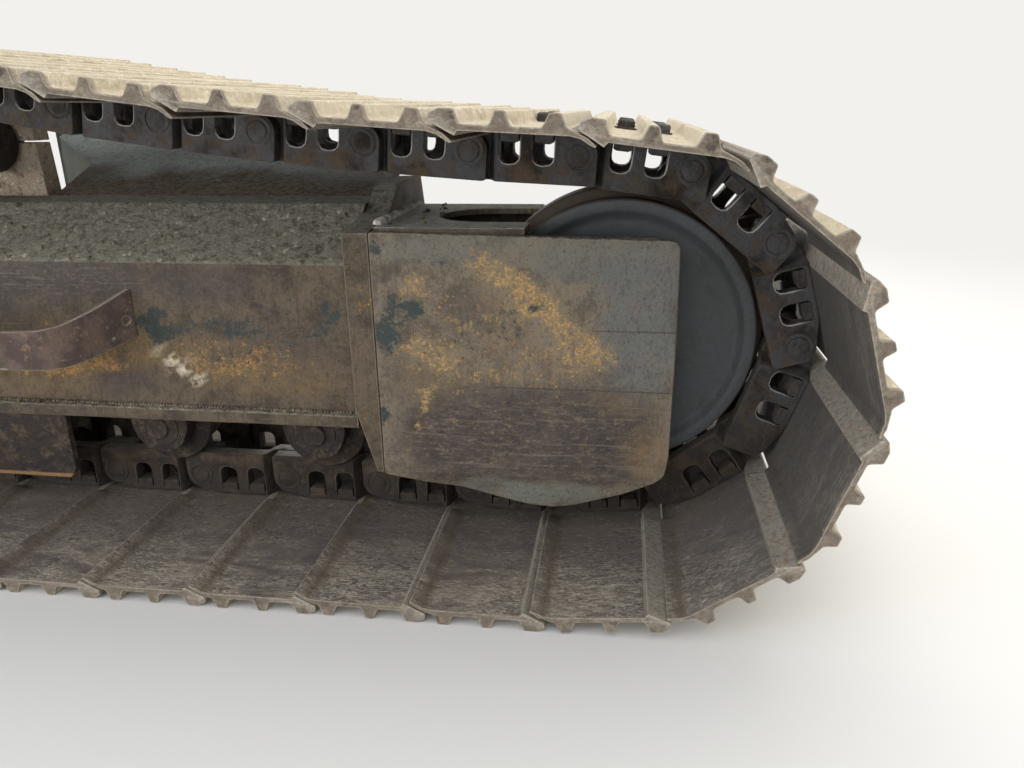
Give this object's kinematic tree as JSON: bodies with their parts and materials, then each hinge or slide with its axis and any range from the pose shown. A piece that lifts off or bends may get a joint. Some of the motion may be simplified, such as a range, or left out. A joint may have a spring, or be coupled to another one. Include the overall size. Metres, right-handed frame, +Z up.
{
  "type": "excavator crawler track unit",
  "caption": "Side frame of a crawler excavator with its shoe chain, front idler, rollers, drive sprocket, final drive and carbody legs.",
  "frame": {"origin": "on the ground under the middle of the track unit, on the centreline of the chain", "axes": "+X to the idler at the front, +Y inboard to the carbody, +Z up"},
  "size_m": [4.434, 0.93, 0.9224],
  "materials": {
    "shoe_steel": "worn rolled steel, dusty",
    "chain_steel": "forged steel, greasy and dirty",
    "roller_steel": "forged steel, dark and dirty",
    "cover_paint": "worn orange-yellow paint over scratched steel",
    "frame_paint": "worn orange-yellow paint under dried mud",
    "forged_steel": "forged steel, greasy",
    "drive_paint": "worn dark grey paint",
    "leg_paint": "grey-green dusty paint",
    "bracket_cast": "rough casting with light rust",
    "rusty_steel": "bent and rusty steel"
  },
  "bodies": {
    "track_frame": {"track_shoes": "shoe_steel", "track_links": "chain_steel", "idler_axle": "forged_steel", "idler_block_outer": "forged_steel", "idler_block_inner": "forged_steel", "idler_yoke": "forged_steel", "adjuster_cylinder": "forged_steel", "sprocket": "chain_steel", "final_drive": "drive_paint", "travel_motor": "drive_paint", "motor_guard": "frame_paint", "drive_bracket": "frame_paint", "frame_beam": "frame_paint", "roller_rail_outer": "frame_paint", "roller_rail_inner": "frame_paint", "front_bulkhead": "frame_paint", "rear_bulkhead": "frame_paint", "box_side_outer": "frame_paint", "box_side_inner": "frame_paint", "box_cover_outer": "cover_paint", "box_cover_inner": "cover_paint", "box_top": "frame_paint", "track_roller_1": "roller_steel", "track_roller_2": "roller_steel", "track_roller_3": "roller_steel", "track_roller_4": "roller_steel", "track_roller_5": "roller_steel", "track_roller_6": "roller_steel", "track_roller_7": "roller_steel", "track_roller_8": "roller_steel", "track_roller_9": "roller_steel", "carrier_roller_front": "roller_steel", "carrier_roller_rear": "roller_steel", "carrier_bracket_front": "bracket_cast", "carrier_bracket_rear": "bracket_cast", "track_guide_front": "rusty_steel", "track_guide_rear": "rusty_steel", "leg_front": "leg_paint", "leg_rear": "leg_paint", "leg_flange_front": "leg_paint", "leg_flange_rear": "leg_paint", "step_front": "rusty_steel", "step_rear": "rusty_steel"},
    "idler": {"idler_wheel": "roller_steel"}
  },
  "joints": [
    {"name": "idler_spin", "type": "hinge", "parent": "track_frame", "child": "idler", "pos_m": [1.83417, 0, 0.3877], "axis": [0, 1, 0], "continuous": true}
  ]
}
